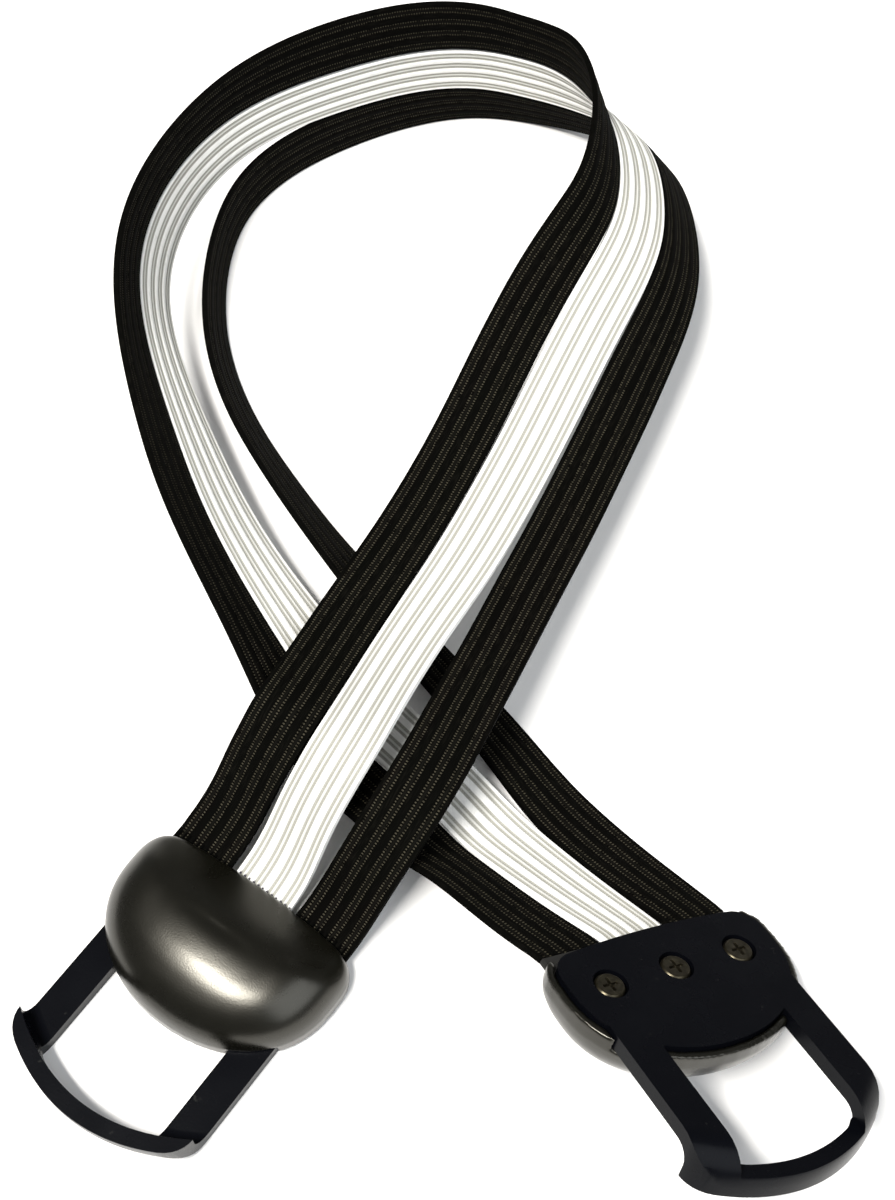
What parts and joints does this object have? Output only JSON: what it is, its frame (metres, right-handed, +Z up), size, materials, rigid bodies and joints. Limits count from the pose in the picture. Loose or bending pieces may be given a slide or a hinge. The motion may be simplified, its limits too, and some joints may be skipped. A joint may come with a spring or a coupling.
{
  "type": "bungee cord",
  "caption": "Flat elastic strap of ribbed bands side by side, lying in a loose loop, with a domed clamp and a wide open hook plate at each end.",
  "frame": {"origin": "on the surface the strap lies on, under the middle of the box around the two end fittings", "axes": "+Z up from that surface; +Y from end A's hook towards its bands and the loop; +X from end A towards end B"},
  "size_m": [0.3211, 0.3512, 0.0674],
  "materials": {
    "black_webbing": "ribbed woven elastic, matte",
    "white_webbing": "ribbed woven elastic, matte",
    "cover": "satin moulded",
    "hook_plate": "fine matte moulded",
    "screw": "dark zinc"
  },
  "bodies": {
    "strap": {"end_a_cover": "cover", "end_a_hook_plate": "hook_plate", "end_a_screw_1": "screw", "end_a_screw_2": "screw", "end_a_screw_3": "screw", "band_black_1": "black_webbing", "band_white": "white_webbing", "band_black_2": "black_webbing"},
    "end_b": {"end_b_cover": "cover", "end_b_hook_plate": "hook_plate", "end_b_screw_1": "screw", "end_b_screw_2": "screw", "end_b_screw_3": "screw", "band_black_1_end": "black_webbing", "band_white_end": "white_webbing", "band_black_2_end": "black_webbing"}
  },
  "joints": [
    {"name": "strap_stretch", "type": "slide", "parent": "strap", "child": "end_b", "axis": [0.8782, -0.391, 0.2756], "range_m": [0, 0.04], "stiffness_N_per_m": 250}
  ]
}
